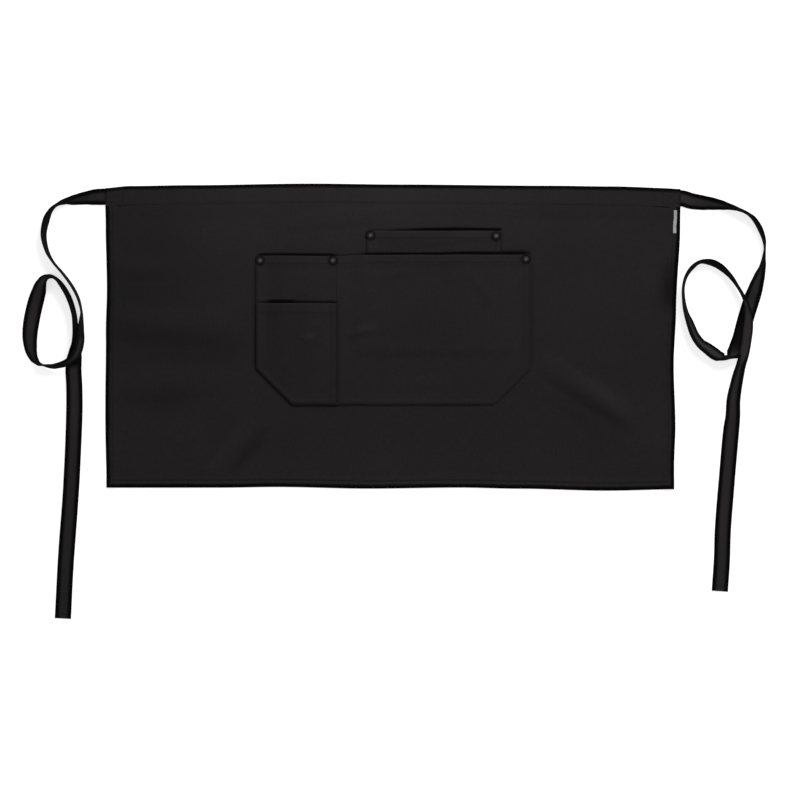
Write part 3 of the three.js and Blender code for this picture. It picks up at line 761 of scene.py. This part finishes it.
def makePanel(cloth):
    edges = [side * (cloth["half"] - inset) for side in (-1, 1) for inset in (2.6, 4.0, 5.6)]
    edges += [mainPocket["left"] - away for away in (0, 1.8, 3.6, 5.5)]
    edges += [mainPocket["right"] + away for away in (0, 2.5, 5.0, 7.5)]
    half = cloth["half"]
    hem = cloth["hem"]
    step = cloth["step"]
    columnAt, columnLayer, columnCut = hemStations(-half, half, hem, hem, step, fine=edges)
    fine = [mouth + above for mouth in (106.9, 139.4) for above in mouthRows]
    fine += [cloth["low"] + inset for inset in (2.6, 4.0, 5.6, 6.8, 8.0, 9.2, 10.4, 11.6)]
    rowAt, rowLayer, rowCut = hemStations(cloth["low"], cloth["high"], hem, 0, step, fine=fine)

    def shape(column, row):
        nominalX = columnAt[column]
        nominalY = rowAt[row]
        tall = (nominalY - cloth["low"]) / cloth["tall"]
        y = mix(edgeAt(bottomEdge, nominalX), edgeAt(topEdge, nominalX), tall)
        wide = (nominalX + half) / (2 * half)
        x = mix(edgeAt(leftEdge, y), edgeAt(rightEdge, y), wide)
        sideIn = half - np.abs(nominalX)
        bottomIn = nominalY - cloth["low"]
        side = 1 - ease((sideIn - hem + 1) / cloth["fade"])
        bottom = 1 - ease((bottomIn - hem + 1) / cloth["fade"])
        sideFront = frontShare(columnLayer[column])
        bottomFront = frontShare(rowLayer[row])
        level = bottomFront * (sideFront * (side + bottom + side * bottom) + (1 - sideFront) * 2 * bottom)
        level = level + (1 - bottomFront) * (1 - sideFront)
        waves = np.maximum(0, ripple(x, y, 58, 1.7)) * cloth["roll"]
        waves = waves + np.maximum(0, ripple(x, y, 23, 6.1)) * cloth["roll"] * 0.35
        waves = waves * ease((edgeAt(topEdge, x) - y - 24) / 30)      # flat where the waistband holds it
        seamSide = np.exp(-(((sideIn - 9) / 4.5) ** 2))
        seamBottom = np.exp(-(((bottomIn - 9) / 4.5) ** 2))
        turn = fullTurn / cloth["puckerPitch"]
        pucker = seamSide * (1 + np.sin(y * turn + 2.5 * ripple(x, y, 40, 3.3)))
        pucker = pucker + seamBottom * (1 + np.sin(x * turn + 2.5 * ripple(x, y, 40, 8.2)))
        z = cloth["thickness"] / 2 + level * cloth["layer"] + bandLift(x, y)
        z = z + bumpsAt(panelFolds, x, y) + waves + pucker * cloth["pucker"]
        for rivetX, rivetY in rivetPlaces:
            z = np.maximum(z, cloth["thickness"] / 2 + 0.5 * hump(np.hypot(x - rivetX, y - rivetY) / 14))
        # painted shade: a dark rim along the panel's edges, and a darker line along the bottom hem's seam
        edgeIn = np.minimum(sideIn, bottomIn) + 0.7 * ripple(x, y, 11, 2.6)
        folded = ease((cloth["rim"] - edgeIn) / cloth["rimSoft"])
        folded = np.maximum(folded, 0.24 * hump((bottomIn - cloth["seamIn"]) / 2.8))
        # painted shadow at the pocket mouths, round the rivets and beside the main pocket
        paintedShadow = np.maximum(insideMouth(backPocket, x, y), insideMouth(mainPocket, x, y))
        paintedShadow = np.maximum(np.maximum(paintedShadow, rivetRing(x, y)), besidePocket(x, y))
        wearAndPaintedLight = 0.26 * hump((bottomIn - cloth["rollIn"]) / 3.0)      # a paler band along the hem's roll
        flat = np.stack([columnCut[column], rowCut[row]], 1)
        return np.stack([x, y, z], 1), flat, folded, paintedShadow, wearAndPaintedLight

    piece = clothGrid("apron_panel_cloth", columnAt, rowAt, shape)
    # the top corners are cut away where the ties go into the waistband
    makeActive(piece)
    setMode("EDIT")
    bpy.ops.mesh.select_mode(type="FACE")
    bpy.ops.mesh.select_all(action="DESELECT")
    setMode("OBJECT")
    for face in piece.data.polygons:
        x, y = face.center.x / mm, face.center.y / mm
        nearEnd = min(x - edgeAt(leftEdge, 200), edgeAt(rightEdge, 200) - x) < cloth["notch"]
        face.select = bool(nearEnd and edgeAt(topEdge, x) - y < cloth["bandHeight"] + 0.4)
    setMode("EDIT")
    bpy.ops.mesh.delete(type="FACE")
    setMode("OBJECT")
    solidCloth(piece, cloth["thickness"])
    return piece


panel = makePanel(panelCloth)
dress(panel, clothMaterial)
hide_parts("apron_panel")
print("panel laid:", len(panel.data.polygons), "faces")


# waistband: section from the front edge over the fold to the back edge, as offset and height
bandCloth = {"thickness": 0.7, "step": 3.3, "sway": 0.16, "overTie": 0.72, "rim": 6.4, "rimSoft": 3.6,
             "seamIn": 21.5, "pucker": 0.05, "puckerPitch": 7.5}
bandSection = [
    (-24, 2.34), (-23, 2.5), (-21.8, 2.6), (-20, 2.72), (-16, 2.85), (-11, 2.95), (-6, 2.95), (-4, 2.92),
    (-2.4, 2.85),
    (-0.8, 2.55), (0, 1.8), (-0.8, 1.0), (-2.4, 0.55), (-6, 0.42), (-12, 0.42), (-18, 0.42), (-24, 0.42),
]


def makeWaistband(cloth):
    start = float(edgeAt(leftEdge, 200))
    stop = float(edgeAt(rightEdge, 200))
    count = int((stop - start) / cloth["step"])
    columnAt = np.linspace(start, stop, count + 1)
    section = np.array(bandSection)
    cut = runFrom(np.hypot(np.diff(section[:, 0]), np.diff(section[:, 1])))

    def shape(column, row):
        x = columnAt[column]
        drop = section[row, 0]
        high = section[row, 1]
        taper = 1.1 * (1 - ease((x - start) / 34)) + 0.7 * (1 - ease((stop - x) / 20))
        y = edgeAt(topEdge, x) + drop - taper * ease((drop + 18) / 16)
        front = ease((high - 0.9) / 1.4)
        swell = np.maximum(0, ripple(x, drop, 26, 5.5)) * cloth["sway"]
        fromEnd = np.minimum(x - start, stop - x)
        swell = swell + cloth["overTie"] * (1 - ease((fromEnd - 24) / 16))      # lifted by the tie in it
        pucker = np.exp(-(((drop + cloth["seamIn"]) / 3.0) ** 2)) * cloth["pucker"]
        pucker = pucker * (1 + np.sin(x * fullTurn / cloth["puckerPitch"]))
        z = high + front * (swell + pucker)
        # painted shade: a dark rim along the band's fold and at its ends
        fromFold = -drop + 0.6 * ripple(x, drop, 11, 7.7)
        folded = ease((cloth["rim"] - fromFold) / cloth["rimSoft"])
        folded = np.maximum(folded, 0.5 * ease((2.5 - fromEnd) / 2.5) * front)
        # painted light: paler along the band's lower edge, against the shade under it
        wearAndPaintedLight = 0.13 * ease((-19 - drop) / 3) * front
        return np.stack([x, y, z], 1), np.stack([x - start, cut[row] + 430], 1), folded, x * 0, wearAndPaintedLight

    piece = clothGrid("waistband_cloth", columnAt, section[:, 0], shape)
    solidCloth(piece, cloth["thickness"])
    return piece


waistband = makeWaistband(bandCloth)
dress(waistband, clothMaterial)
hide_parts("waistband")
print("waistband folded")


# how far each mouth stands off what is behind it
def mouthLift(name, x, y):
    middle, half, bottom, top, gap = mouths[name]
    across = np.minimum(1.0, np.abs((x - middle) / half))
    return gap * (1 - ease(across * across)) * ease((y - bottom) / (top - bottom))


def backUnder(x, y):
    return 1.5 + mouthLift("back", x, y)


def mainUnder(x, y):
    past = np.maximum(np.maximum(backPocket["left"] - x, x - backPocket["right"]), backPocket["bottom"] - y)
    over = 1 - ease((past - 6) / 15)
    lifted = mouthLift("mainRight", x, y) + mouthLift("mainLeft", x, y)
    return 1.5 + over * 1.7 + mouthLift("back", x, y) + lifted


def smallUnder(x, y):
    return mainUnder(x, y) + 1.7 + mouthLift("small", x, y)


def pocketBottom(pocket, x):
    fromLeft = pocket["cut"] - (x - pocket["left"])
    fromRight = pocket["cut"] - (pocket["right"] - x) if pocket["cutRight"] else np.zeros(np.shape(x))
    return pocket["bottom"] + np.maximum(0, np.maximum(fromLeft, fromRight))


def makePocket(name, pocket, under, folds, seed, covered=None):
    cloth = pocketCloth
    tall = pocket["top"] - pocket["bottom"]
    left = pocket["left"]
    right = pocket["right"]
    turnIn = cloth["turnIn"]
    step = cloth["step"]
    fine = [left + cloth["rim"], right - cloth["rim"]]
    columnAt, columnLayer, columnCut = hemStations(left, right, turnIn, turnIn, step, fine=fine)
    fine = [cloth["rim"]]
    if covered:
        fine += [covered["top"] - pocket["bottom"] + above for above in mouthRows]
    rowAt, rowLayer, rowCut = hemStations(0, tall, turnIn, pocket["hem"], step, fine=fine)

    def shape(column, row):
        x = columnAt[column]
        raised = pocketBottom(pocket, x) - pocket["bottom"]
        up = rowAt[row]
        y = pocket["bottom"] + up + raised * (1 - ease((up - 4) / 112))     # low rows follow the corners
        y = y + bowAt(pocket, x) * ease((up - tall + 30) / 30)
        y = y + 0.35 * ripple(x, y, 30, seed)
        sideIn = np.minimum(x - left, right - x)
        edgeIn = np.minimum(sideIn, up)
        doubled = 1 - ease((edgeIn - turnIn + 1) / cloth["fade"])
        doubled = np.maximum(doubled, 1 - ease((tall - up - pocket["hem"] + 1) / cloth["fade"]))
        front = frontShare(columnLayer[column]) * frontShare(rowLayer[row])
        z = under(x, y) - cloth["drop"] + cloth["thickness"] / 2 + doubled * front * cloth["double"]
        z = z + bumpsAt(folds, x, y)
        z = z + np.maximum(0, ripple(x, y, 34, seed + 3)) * 0.5
        mouthWave = ease((up - tall + 26) / 26) * ripple(x, y * 0, 21, seed + 5) * 0.45
        z = z + np.maximum(-0.2, mouthWave)
        pucker = np.exp(-(((edgeIn - 5) / 4) ** 2)) * (1 + np.sin((x + y) * 0.8))
        z = z + 0.1 * pucker
        for rivetX, rivetY in rivetPlaces:
            z = z - 0.35 * hump(np.hypot(x - rivetX, y - rivetY) / 9) * front
        # painted shade: a dark line along the pocket's edges, painted shadow round the rivets and behind
        # the mouth of the pocket on top
        folded = pocket["edge"] * ease((3.2 - edgeIn) / 2.4)
        paintedShadow = rivetRing(x, y)
        if covered:
            paintedShadow = np.maximum(paintedShadow, insideMouth(covered, x, y))
        flat = np.stack([columnCut[column] + seed, rowCut[row] + pocket["bottom"] + 260], 1)
        return np.stack([x, y, z], 1), flat, folded, paintedShadow, x * 0

    piece = clothGrid(name, columnAt, rowAt, shape)
    solidCloth(piece, cloth["thickness"])
    return piece


backCloth = makePocket("pocket_back_cloth", backPocket, backUnder, backFolds, 11.0, mainPocket)
mainCloth = makePocket("pocket_main_cloth", mainPocket, mainUnder, mainFolds, 23.0, smallPocket)
smallCloth = makePocket("pocket_small_cloth", smallPocket, smallUnder, smallFolds, 37.0)
pocketFlats = (
    (backCloth, "pocket_back", (0.191, 0.168)),
    (mainCloth, "pocket_main", (0.375, 0.218)),
    (smallCloth, "pocket_small", (0.120, 0.156)),
)
for cloth, node, flat in pocketFlats:
    dress(cloth, clothMaterial)
    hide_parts(node)
print("pockets sewn on")


# one stitch, modelled once: a small bead drawn long and flat
stitch = {"pitch": 3.0, "length": 2.35, "wide": 0.62, "high": 0.5, "sink": 0.08}


def stitchShape(size):
    deselectAll()
    bpy.ops.mesh.primitive_uv_sphere_add(segments=6, ring_count=5, radius=0.5)
    bead = bpy.context.object
    setMode("EDIT")
    bpy.ops.mesh.select_all(action="SELECT")
    bpy.ops.transform.rotate(value=math.radians(90), orient_axis="Y", center_override=(0, 0, 0))
    bpy.ops.transform.resize(value=(size["length"], size["wide"], size["high"]), center_override=(0, 0, 0))
    setMode("OBJECT")
    faceOutward(bead)
    corners = np.array([tuple(v.co) for v in bead.data.vertices])
    faces = [tuple(p.vertices) for p in bead.data.polygons]
    bpy.data.objects.remove(bead, do_unlink=True)
    return corners, faces


beadCorners, beadFaces = stitchShape(stitch)


# a seam line in x and y, walked at the stitch pitch
def walkLine(corners, pitch):
    corners = np.array(corners, dtype=float)
    travel = runFrom(np.linalg.norm(np.diff(corners, axis=0), axis=1))
    count = max(2, int(round(travel[-1] / pitch)))
    return readAt(np.linspace(0, travel[-1], count + 1), travel, corners)


# the seam dropped on a piece of cloth from above, or pressed up on it from below
def seamOn(piece, line, below=False):
    found = []
    direction = Vector((0, 0, 1 if below else -1))
    for x, y in line:
        start = Vector((x * mm, y * mm, -0.05 if below else 0.08))
        hit, place, normal, _ = piece.ray_cast(start, direction)
        found.append((np.array(place) / mm, np.array(normal)) if hit else None)
    return found


def stitchesAlong(found):
    corners = []
    for first, second in zip(found[:-1], found[1:]):
        if first is None or second is None:
            continue
        along = second[0] - first[0]
        if np.linalg.norm(along) > stitch["pitch"] * 2.2:
            continue
        along = along / np.linalg.norm(along)
        normal = first[1] + second[1]
        normal = normal - along * normal.dot(along)
        normal = normal / np.linalg.norm(normal)
        across = np.cross(normal, along)
        middle = (first[0] + second[0]) / 2 + normal * (stitch["high"] / 2 - stitch["sink"] - 0.1)
        corners.append(middle + beadCorners @ np.array([along, across, normal]))
    return corners


def makeStitching(name, groups, thread=threadMaterial):
    blocks = [block for group in groups for block in stitchesAlong(group)]
    size = len(beadCorners)
    points = np.concatenate(blocks) * mm
    points[:, 2] = np.maximum(points[:, 2], -0.00015)      # pressed flat by the floor
    faces = [tuple(index + k * size for index in face) for k in range(len(blocks)) for face in beadFaces]
    piece = meshPiece(name, points, faces)
    smoothPiece(piece, 80)
    dress(piece, thread)


bpy.context.view_layer.update()


def seamLine(corners):
    return walkLine(corners, stitch["pitch"])


def pocketSeam(pocket, inset):
    left, right = pocket["left"] + inset, pocket["right"] - inset
    low, high, cut = pocket["bottom"] + inset, pocket["top"] - 1.0, pocket["cut"]
    corner = cut - inset * 0.586 if cut else 0
    corners = [(left, high), (left, low + corner)]
    if cut:
        corners.append((left + corner, low))
    if pocket["cutRight"]:
        corners += [(right - corner, low), (right, low + corner)]
    else:
        corners.append((right, low))
    return corners + [(right, high)]


sideAt = np.arange(-196.0, 174.0, 3.0)
alongAt = np.arange(-372.0, 374.0, 3.0)
hemLeft = np.stack([edgeAt(leftEdge, sideAt) + 8.8, sideAt], 1)
hemRight = np.stack([edgeAt(rightEdge, sideAt) - 8.8, sideAt], 1)
hemLow = np.stack([alongAt, edgeAt(bottomEdge, alongAt) + 9.6], 1)
bandLow = np.stack([alongAt, edgeAt(topEdge, alongAt) - 21.8], 1)
panelSeams = [seamLine(line) for line in (hemLeft, hemRight, hemLow)]
pocketSeams = [
    (backCloth, pocketSeam(backPocket, 2.0)), (backCloth, [(-30, 130.4), (144, 130.4)]),
    (mainCloth, pocketSeam(mainPocket, 2.0)), (mainCloth, [(-71.7, 107), (-71.7, -88)]),
    (mainCloth, [(-176, 96.6), (-64, 96.6), (-44, 98.0), (182.5, 98.0)]),
    (smallCloth, pocketSeam(smallPocket, 2.0)), (smallCloth, [(-176, 31.4), (-72.5, 31.4)]),
]
innerSeams = [
    (backCloth, pocketSeam(backPocket, 8.5)), (mainCloth, pocketSeam(mainPocket, 9.5)),
    (smallCloth, pocketSeam(smallPocket, 9.5)),
]
backSeams = [pocketSeam(backPocket, 2.0), pocketSeam(mainPocket, 2.0), [(-71.7, 108), (-71.7, -88)]]
frontGroups = [seamOn(panel, line) for line in panelSeams]
underGroups = [seamOn(panel, line, True) for line in panelSeams]
underGroups += [seamOn(panel, seamLine(line), True) for line in backSeams]
makeStitching("panel_stitching", frontGroups + underGroups)


# box with a cross at each end of the waistband, over the tucked-in ties
def boxSeam(start, stop):
    across = (start, start, stop, stop, start, stop, stop, start)
    drops = (20, 3.5, 3.5, 20, 20, 3.5, 20, 3.5)
    return [(x, float(edgeAt(topEdge, x)) - drop) for x, drop in zip(across, drops)]


bandSeams = [seamLine(bandLow), seamLine(boxSeam(-374.0, -353.0)), seamLine(boxSeam(379.0, 358.0))]
bandGroups = [seamOn(waistband, line) for line in bandSeams]
bandGroups += [seamOn(waistband, line, True) for line in bandSeams]
makeStitching("waistband_stitching", bandGroups, fadedThreadMaterial)
pocketGroups = [seamOn(cloth, seamLine(line)) for cloth, line in pocketSeams]
innerGroups = [seamOn(cloth, seamLine(line)) for cloth, line in innerSeams]
makeStitching("pocket_stitching", pocketGroups)
makeStitching("pocket_inner_stitching", innerGroups, fadedThreadMaterial)


# two seams along each face of a tie and one across its end
def strapSeams(frames, travel, strap):
    middles = np.array([f[0] for f in frames])
    acrossAll = np.array([f[2] for f in frames])
    throughAll = np.array([f[3] for f in frames])
    seam = strap["width"] / 2 - strap["seamIn"]
    depth = float(strapHalf(np.array([seam]), strap)[0])
    spots = np.arange(26.0, travel[-1] - 1.5, stitch["pitch"])
    groups = []
    for face in (1, -1):
        for edge in (-seam, seam):
            line = middles + acrossAll * edge + throughAll * depth * face
            normals = readAt(spots, travel, throughAll) * face
            groups.append(list(zip(readAt(spots, travel, line), normals)))
        endAt = np.linspace(-seam, seam, 7)
        last = int(np.searchsorted(travel, travel[-1] - 7))
        endDepth = strap["thickness"] / 2
        normal = throughAll[last] * face
        row = [middles[last] + acrossAll[last] * o + throughAll[last] * endDepth * face for o in endAt]
        groups.append([(spot, normal) for spot in row])
    return groups


for _, node, frames, travel, _ in ties:
    makeStitching(f"{node}_stitching", strapSeams(frames, travel, tieStrap), tieThreadMaterial)
print("seams stitched")


# rivet turned from a disc: back disc, post, then the cap's rim and dome, each ring as radius and height
rivetRings = [
    (3.9, 0.05), (3.9, 0.6), (1.5, 0.6), (1.5, 2.75), (4.5, 2.75), (4.75, 2.95), (4.75, 3.3), (4.5, 3.62),
    (4.05, 3.72), (3.75, 3.66), (3.5, 3.74), (2.9, 4.02), (2.0, 4.22), (1.0, 4.33),
]


def makeRivet(rings):
    deselectAll()
    radius, height = rings[0]
    bpy.ops.mesh.primitive_circle_add(vertices=40, radius=radius * mm, fill_type="NGON", location=(0, 0, 0))
    piece = bpy.context.object
    setMode("EDIT")
    bpy.ops.mesh.select_mode(type="FACE")
    bpy.ops.mesh.select_all(action="SELECT")
    bpy.ops.transform.translate(value=(0, 0, height * mm))
    for nextRadius, nextHeight in rings[1:]:
        rise = (nextHeight - height) * mm
        bpy.ops.mesh.extrude_region_move(TRANSFORM_OT_translate={"value": (0, 0, rise)})
        scale = nextRadius / radius
        bpy.ops.transform.resize(value=(scale, scale, 1), center_override=(0, 0, 0))
        radius, height = nextRadius, nextHeight
    setMode("OBJECT")
    faceOutward(piece)
    applyModifier(piece, "BEVEL", {"width": 0.08 * mm, "segments": 2, "limit_method": "ANGLE"})
    heights = np.array([v.co.z for v in piece.data.vertices]) / mm
    radii = np.array([math.hypot(v.co.x, v.co.y) for v in piece.data.vertices]) / mm
    rub = 0.16 * np.exp(-(((radii - 4.1) / 0.35) ** 2)) + 0.95 * np.exp(-((radii / 2.2) ** 2))
    markPoints(piece.data, "rub", rub * (heights > 3.3))
    smoothPiece(piece, 40)
    return piece


firstRivet = makeRivet(rivetRings)
for index, (x, y) in enumerate(rivetPlaces):
    mesh = firstRivet.data.copy()
    mesh.transform(Matrix.Translation((x * mm, y * mm, 0)))
    rivet = bpy.data.objects.new(f"rivet_cap_{index + 1}", mesh)
    bpy.context.scene.collection.objects.link(rivet)
    dress(rivet, rivetMaterial)
    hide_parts(f"rivet_{index + 1}")
bpy.data.objects.remove(firstRivet, do_unlink=True)
print("rivets set")


# bare side label: a tape folded double, its fold just inside the hem's edge and its ends sewn to the hem
sideLabel = {"left": 372.7, "right": 376.7, "low": 136.4, "high": 166.6, "thickness": 0.4, "gap": 0.28,
             "between": 0.62, "lean": 0.6, "sway": 0.2}


def makeLabel(label):
    columnAt, columnLayer, columnCut = hemStations(label["left"], label["right"], 0, 4.0, 0.8, 0.31)
    rowAt = np.linspace(label["low"], label["high"], 33)

    def shape(column, row):
        x = columnAt[column]
        y = rowAt[row]
        hits = seamOn(panel, np.stack([x, y], 1))
        under = np.array([hit[0][2] for hit in hits])
        across = (x - label["left"]) / (label["right"] - label["left"])
        front = frontShare(columnLayer[column])
        z = under + label["gap"] + front * (label["between"] + 0.25 * np.sin(np.pi * across))
        z = z + 0.15 * ripple(x, y, 9, 4.4) * front
        flat = np.stack([columnCut[column], y], 1)
        height = (y - label["low"]) / (label["high"] - label["low"]) * 2 - 1
        x = x + label["lean"] * height + label["sway"] * np.sin(height * 4)
        return np.stack([x, y, z], 1), flat, x * 0, x * 0, x * 0

    piece = clothGrid("side_label_tape", columnAt, rowAt, shape)
    solidCloth(piece, label["thickness"])
    return piece


labelTape = makeLabel(sideLabel)
dress(labelTape, tapeMaterial)
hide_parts("side_label")
print("label sewn on")


# floor and light
studio = {
    "floor": (0.5, 0.5, 0.5, 1), "floorGlow": 0.7, "floorSize": 14.0, "world": 0.42,
    "key": {"place": (1.5, 3.1, 3.5), "size": 2.6, "power": 222.0},
    "fill": {"place": (-2.2, -1.0, 3.4), "size": 2.4, "power": 16.0},
}


def addLight(name, light, target):
    place = Vector(light["place"])
    bpy.ops.object.light_add(type="AREA", location=place)
    lamp = bpy.context.object
    lamp.name = name
    lamp.data.shape = "DISK"
    lamp.data.size = light["size"]
    lamp.data.energy = light["power"]
    lamp.rotation_euler = (Vector(target) - place).to_track_quat("-Z", "Y").to_euler()


def setStudio(setup):
    deselectAll()
    bpy.ops.mesh.primitive_plane_add(size=setup["floorSize"], location=(0, 0, 0))
    floor = bpy.context.object
    floor.name = "floor"
    setMode("EDIT")
    bpy.ops.transform.translate(value=(0, 0, -0.0002))
    setMode("OBJECT")
    look = Look("pale_floor")
    place = look.place()
    rough = 0.8 + 0.1 * look.speckle(place, 3.0)
    floor.data.materials.append(look.finish(Base_Color=setup["floor"], Roughness=rough))
    look.finish(Specular_IOR_Level=0.1, Emission_Color=(1, 1, 1, 1), Emission_Strength=setup["floorGlow"])
    addLight("key_light", setup["key"], (0, 0, 0))
    addLight("fill_light", setup["fill"], (0, 0, 0))
    world = bpy.data.worlds.new("soft_studio")
    world.use_nodes = True
    world.node_tree.nodes["Background"].inputs["Color"].default_value = (1, 1, 1, 1)
    world.node_tree.nodes["Background"].inputs["Strength"].default_value = setup["world"]
    bpy.context.scene.world = world
    bpy.context.scene.view_settings.view_transform = "Standard"


setStudio(studio)
print("studio lit")
